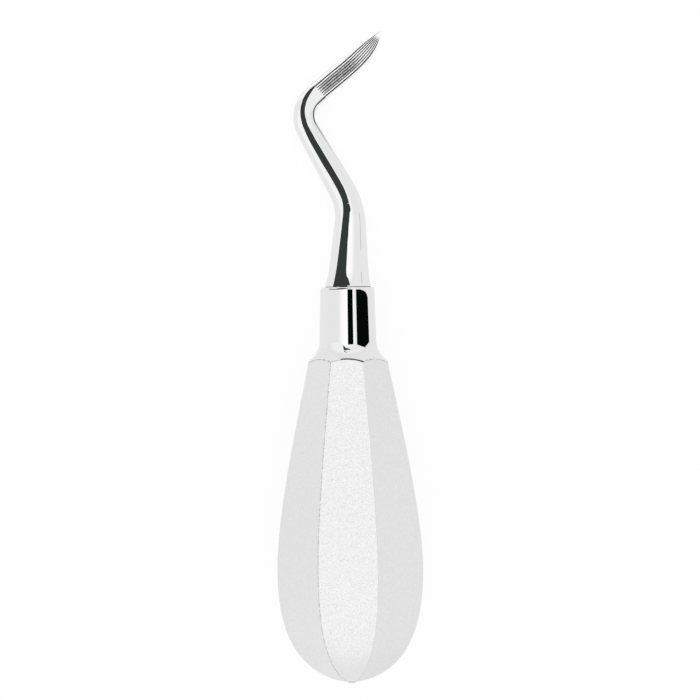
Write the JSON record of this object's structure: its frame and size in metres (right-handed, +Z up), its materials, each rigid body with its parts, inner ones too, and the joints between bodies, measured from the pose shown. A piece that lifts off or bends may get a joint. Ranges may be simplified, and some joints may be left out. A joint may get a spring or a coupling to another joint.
{
  "type": "dental elevator",
  "caption": "Hand elevator with a hollow faceted pear grip, a polished round collar and a twice bent shank ending in a half-round serrated blade.",
  "frame": {"origin": "on the table, below the middle of the length of the tool as it lies", "axes": "+Z up from the table, +Y from the butt towards the blade, +X to the side that the tip points to, with the serrated face up"},
  "size_m": [0.0332, 0.1492, 0.034],
  "materials": {
    "satin_steel": "fine satin blasted facets, mirror polished on the round collar",
    "polished_steel": "mirror polished stainless steel",
    "plug_steel": "dull dark weld metal"
  },
  "bodies": {
    "root": {"handle": "satin_steel", "shank": "polished_steel", "vent_plug": "plug_steel"}
  },
  "joints": []
}
